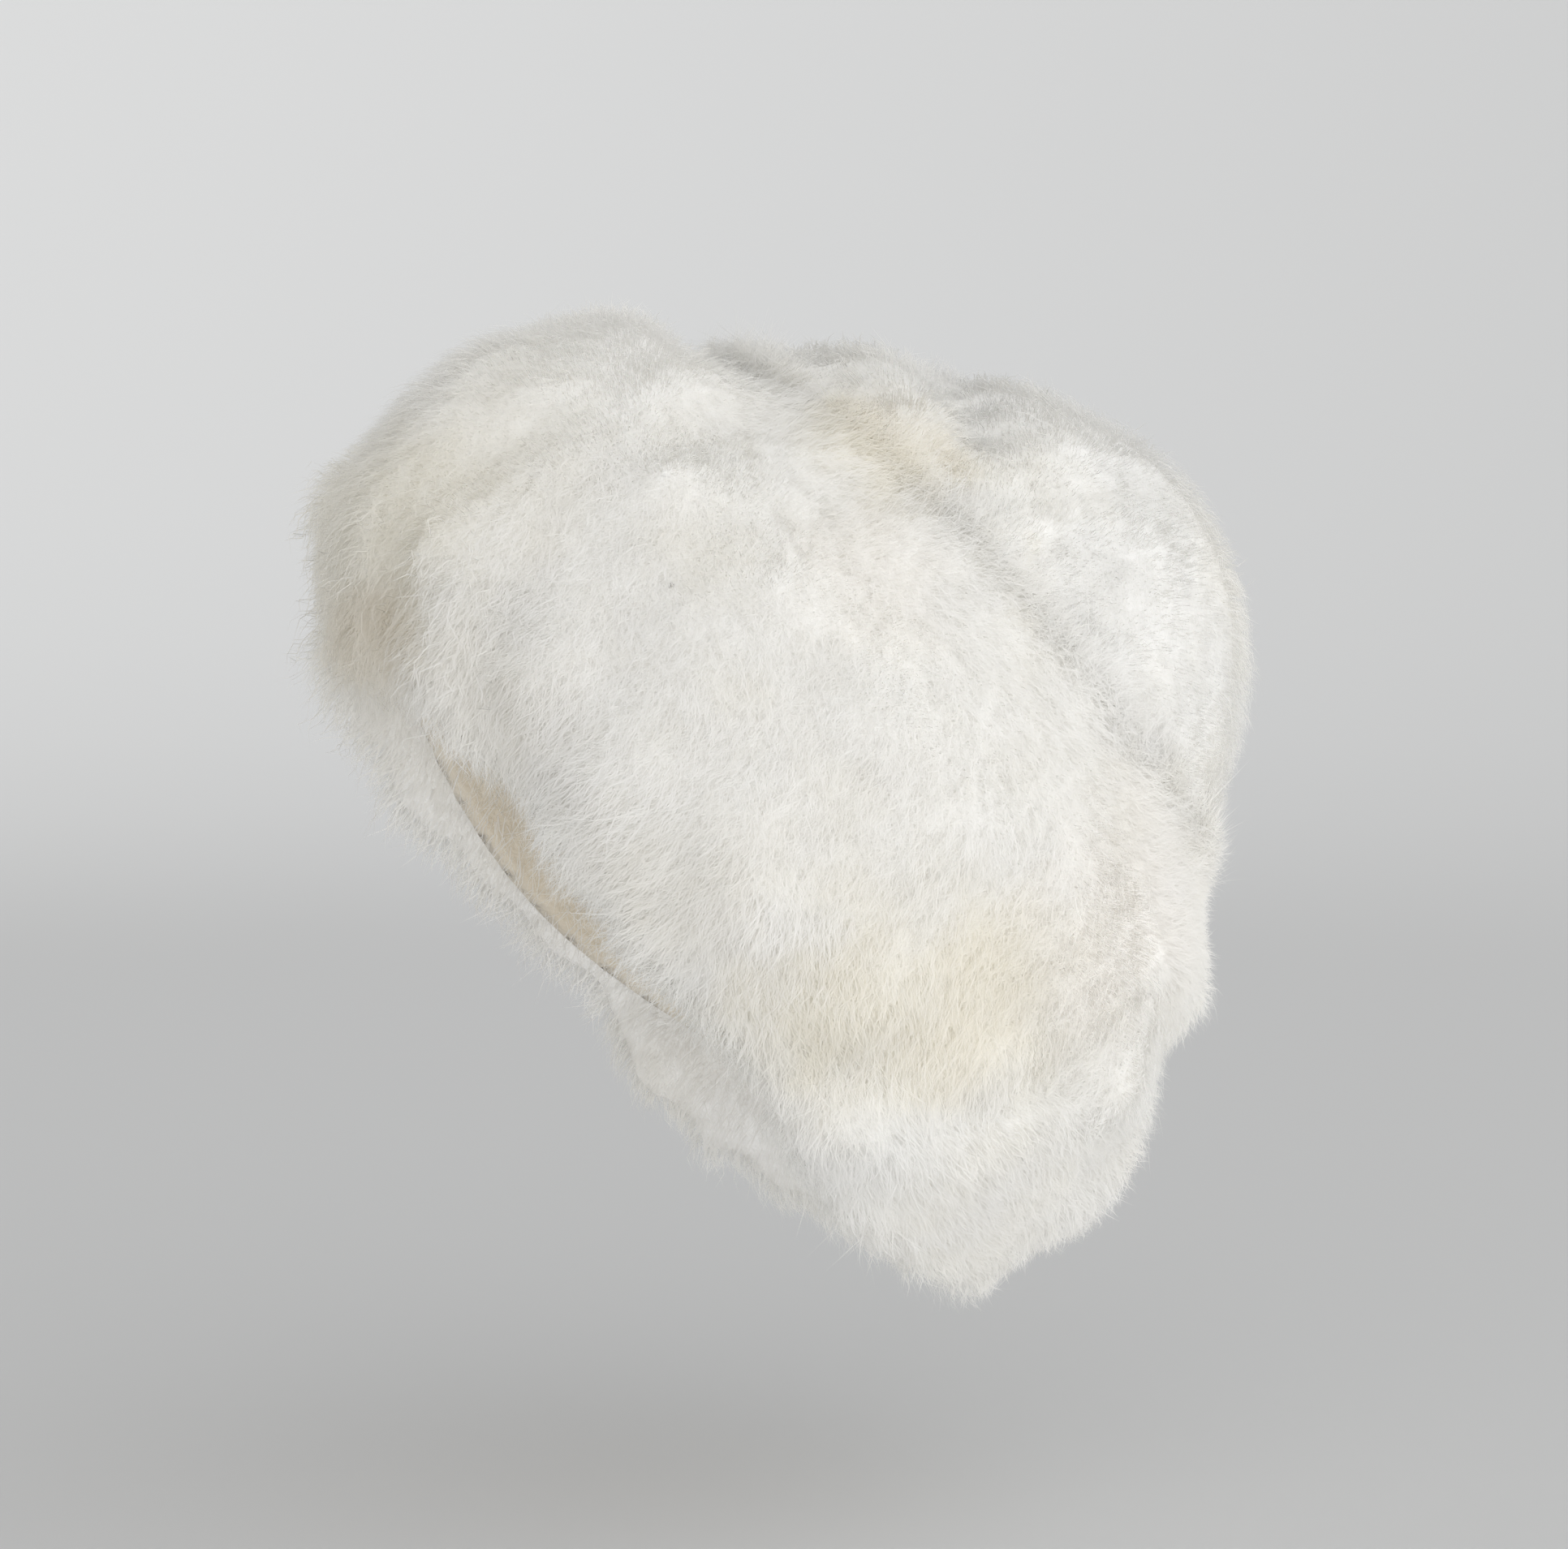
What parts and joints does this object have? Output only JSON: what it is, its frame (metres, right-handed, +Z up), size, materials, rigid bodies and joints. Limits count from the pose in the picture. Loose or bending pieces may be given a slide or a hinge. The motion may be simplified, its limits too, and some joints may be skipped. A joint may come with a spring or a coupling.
{
  "type": "Russian sheepskin hat with turned-up flaps",
  "caption": "Tall white sheepskin hat worn tipped back: domed crown, puffy front flap, wide side flaps turned up and a lobe hanging behind the neck",
  "frame": {"origin": "the middle of the rim's oval, where the head fills the hat and holds it", "axes": "+Z up, -Y the way the wearer faces, +X to the wearer's left; the hat's own axis leans back 46 degrees from +Z toward +Y, as worn"},
  "size_m": [0.2694, 0.322, 0.3295],
  "materials": {
    "hide": "tanned sheepskin, suede side in",
    "crown_wool": "short curly white sheepskin pile",
    "flap_wool": "long combed cream-white sheepskin pile"
  },
  "bodies": {
    "root": {"crown": "hide", "crown_fleece": "crown_wool", "front_flap": "flap_wool", "left_ear_flap": "flap_wool", "right_ear_flap": "flap_wool", "nape_flap": "flap_wool"}
  },
  "joints": []
}
